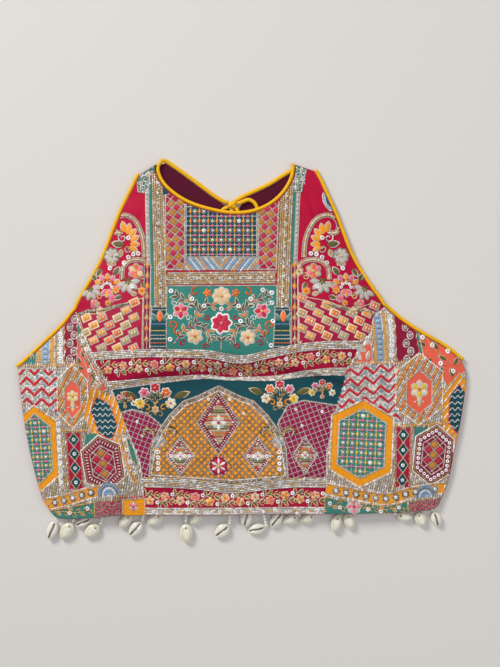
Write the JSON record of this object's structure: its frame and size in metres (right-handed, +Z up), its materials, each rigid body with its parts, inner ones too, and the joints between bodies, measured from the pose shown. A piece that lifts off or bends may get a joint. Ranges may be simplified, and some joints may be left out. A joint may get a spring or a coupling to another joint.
{
  "type": "halterneck blouse",
  "caption": "Embroidered halterneck blouse laid flat, with rolled neck and armhole piping, a bow at the back neck and cowrie shells hanging from the hem.",
  "frame": {"origin": "on the surface that the blouse lies on, under the middle of its outline", "axes": "+X to the right as seen from above, +Y up towards the neck, +Z up out of the front of the blouse"},
  "size_m": [0.453, 0.3878, 0.0285],
  "materials": {
    "embroidered_cloth": "dense thread, metal-thread and sequin embroidery on crimson, teal, marigold and maroon silk",
    "back_cloth": "plain dark crimson silk, matt",
    "yellow_piping": "rolled bias silk, soft sheen",
    "cowrie_shell": "glossy natural shell, pale green-white with a yellow ring",
    "bead": "small glossy pale beads on a thread"
  },
  "bodies": {
    "root": {"front_centre": "embroidered_cloth", "front_side_left": "embroidered_cloth", "front_side_right": "embroidered_cloth", "back_left": "back_cloth", "back_right": "back_cloth", "piping_neck": "yellow_piping", "piping_armhole_left": "yellow_piping", "piping_armhole_right": "yellow_piping", "back_neck_left": "yellow_piping", "back_neck_right": "yellow_piping", "bow_knot": "yellow_piping", "bow_loop": "yellow_piping", "bow_tail_left": "yellow_piping", "bow_tail_right": "yellow_piping", "cowrie_01": "cowrie_shell", "cowrie_02": "cowrie_shell", "cowrie_03": "cowrie_shell", "cowrie_04": "cowrie_shell", "cowrie_05": "cowrie_shell", "cowrie_06": "cowrie_shell", "cowrie_07": "cowrie_shell", "cowrie_08": "cowrie_shell", "cowrie_09": "cowrie_shell", "cowrie_10": "cowrie_shell", "cowrie_11": "cowrie_shell", "cowrie_12": "cowrie_shell", "cowrie_13": "cowrie_shell", "cowrie_14": "cowrie_shell", "cowrie_15": "cowrie_shell", "cowrie_16": "cowrie_shell", "cowrie_17": "cowrie_shell", "cowrie_18": "cowrie_shell", "cowrie_19": "cowrie_shell", "cowrie_20": "cowrie_shell", "beads_01": "bead", "beads_02": "bead", "beads_03": "bead", "beads_04": "bead", "beads_05": "bead", "beads_06": "bead", "beads_07": "bead", "beads_08": "bead", "beads_09": "bead", "beads_10": "bead", "beads_11": "bead", "beads_12": "bead", "beads_13": "bead", "beads_14": "bead", "beads_15": "bead", "beads_16": "bead", "beads_17": "bead", "beads_18": "bead", "beads_19": "bead", "beads_20": "bead"}
  },
  "joints": []
}
